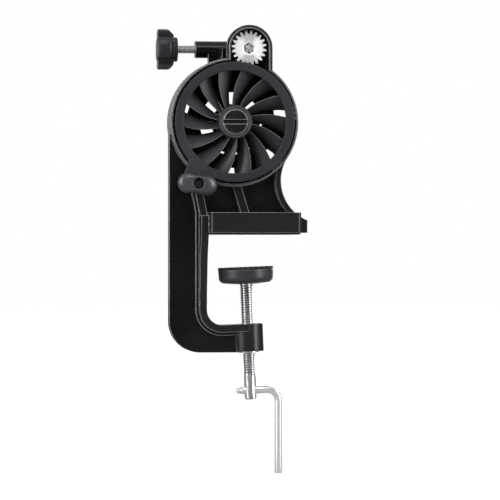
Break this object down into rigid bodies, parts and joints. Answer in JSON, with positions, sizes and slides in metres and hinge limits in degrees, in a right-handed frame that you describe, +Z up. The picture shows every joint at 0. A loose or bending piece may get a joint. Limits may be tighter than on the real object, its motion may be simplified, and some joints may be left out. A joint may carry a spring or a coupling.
{
  "type": "fishing line winder",
  "caption": "Clamp-on hand-cranked fishing line winder: C-frame with swirled crank wheel, geared output with spool arm socket, table clamp and star knob.",
  "frame": {"origin": "where the clamp screw's axis meets the grip face under the upper jaw", "axes": "+Z up; +Y from the crank side to the spool side, along the wheel's axle; +X from the spine towards the clamp's open side"},
  "size_m": [0.0925, 0.0566, 0.2795],
  "materials": {
    "black_nylon": "satin moulded, fine grain",
    "charcoal_nylon": "satin moulded",
    "pad_nylon": "smooth satin",
    "rubber": "matt",
    "plated_steel": "bright nickel plate",
    "machined_steel": "turned and hobbed",
    "zinc_steel": "zinc plated",
    "dark_steel": "black oxide, slightly worn",
    "bronze": "sintered",
    "brass": "turned"
  },
  "bodies": {
    "frame": {"frame_body": "black_nylon", "jaw_grip": "rubber", "clamp_nut": "zinc_steel", "wheel_axle": "dark_steel", "axle_washer": "zinc_steel", "axle_nut": "zinc_steel", "shaft_bush": "bronze", "knob_insert": "brass"},
    "wheel": {"crank_wheel": "charcoal_nylon", "wheel_gear": "charcoal_nylon", "wheel_bush": "bronze", "handle_nut": "zinc_steel"},
    "output": {"pinion": "machined_steel", "drive_shaft": "machined_steel", "shaft_clip": "dark_steel"},
    "foot": {"clamp_pad": "pad_nylon", "pad_grip": "rubber"},
    "screw": {"clamp_screw": "plated_steel", "pad_retainer": "zinc_steel"},
    "handle": {"clamp_handle": "plated_steel"},
    "tip": {"knob_tip": "brass"},
    "knob": {"star_knob": "black_nylon", "knob_screw": "plated_steel"}
  },
  "joints": [
    {"name": "wheel_spin", "type": "hinge", "parent": "frame", "child": "wheel", "pos_m": [-0.0073, 0, 0.0699], "axis": [0, 1, 0], "continuous": true},
    {"name": "pinion_spin", "type": "hinge", "parent": "frame", "child": "output", "pos_m": [0.00217, 0, 0.11604], "axis": [0, 1, 0], "continuous": true},
    {"name": "foot_travel", "type": "slide", "parent": "frame", "child": "foot", "axis": [-0.0401, 0, 0.9992], "range_m": [-0.024, 0.013]},
    {"name": "screw_turn", "type": "hinge", "parent": "foot", "child": "screw", "pos_m": [0, 0, 0], "axis": [-0.0401, 0, 0.9992], "range_deg": [-5761, 3121]},
    {"name": "handle_swing", "type": "hinge", "parent": "screw", "child": "handle", "pos_m": [0.0039, 0, -0.09712], "axis": [0.9992, 0, 0.0401], "range_deg": [-90, 90]},
    {"name": "knob_travel", "type": "slide", "parent": "frame", "child": "tip", "axis": [1, 0, 0], "range_m": [0, 0.0103]},
    {"name": "knob_turn", "type": "hinge", "parent": "tip", "child": "knob", "pos_m": [0, 0.0105, 0.11604], "axis": [1, 0, 0], "range_deg": [0, 4640]}
  ],
  "couplings": [
    {"joint": "pinion_spin", "follows": "wheel_spin", "ratio": -3.7},
    {"joint": "screw_turn", "follows": "foot_travel", "rad_per_m": 4188.8},
    {"joint": "knob_turn", "follows": "knob_travel", "rad_per_m": 7854}
  ]
}
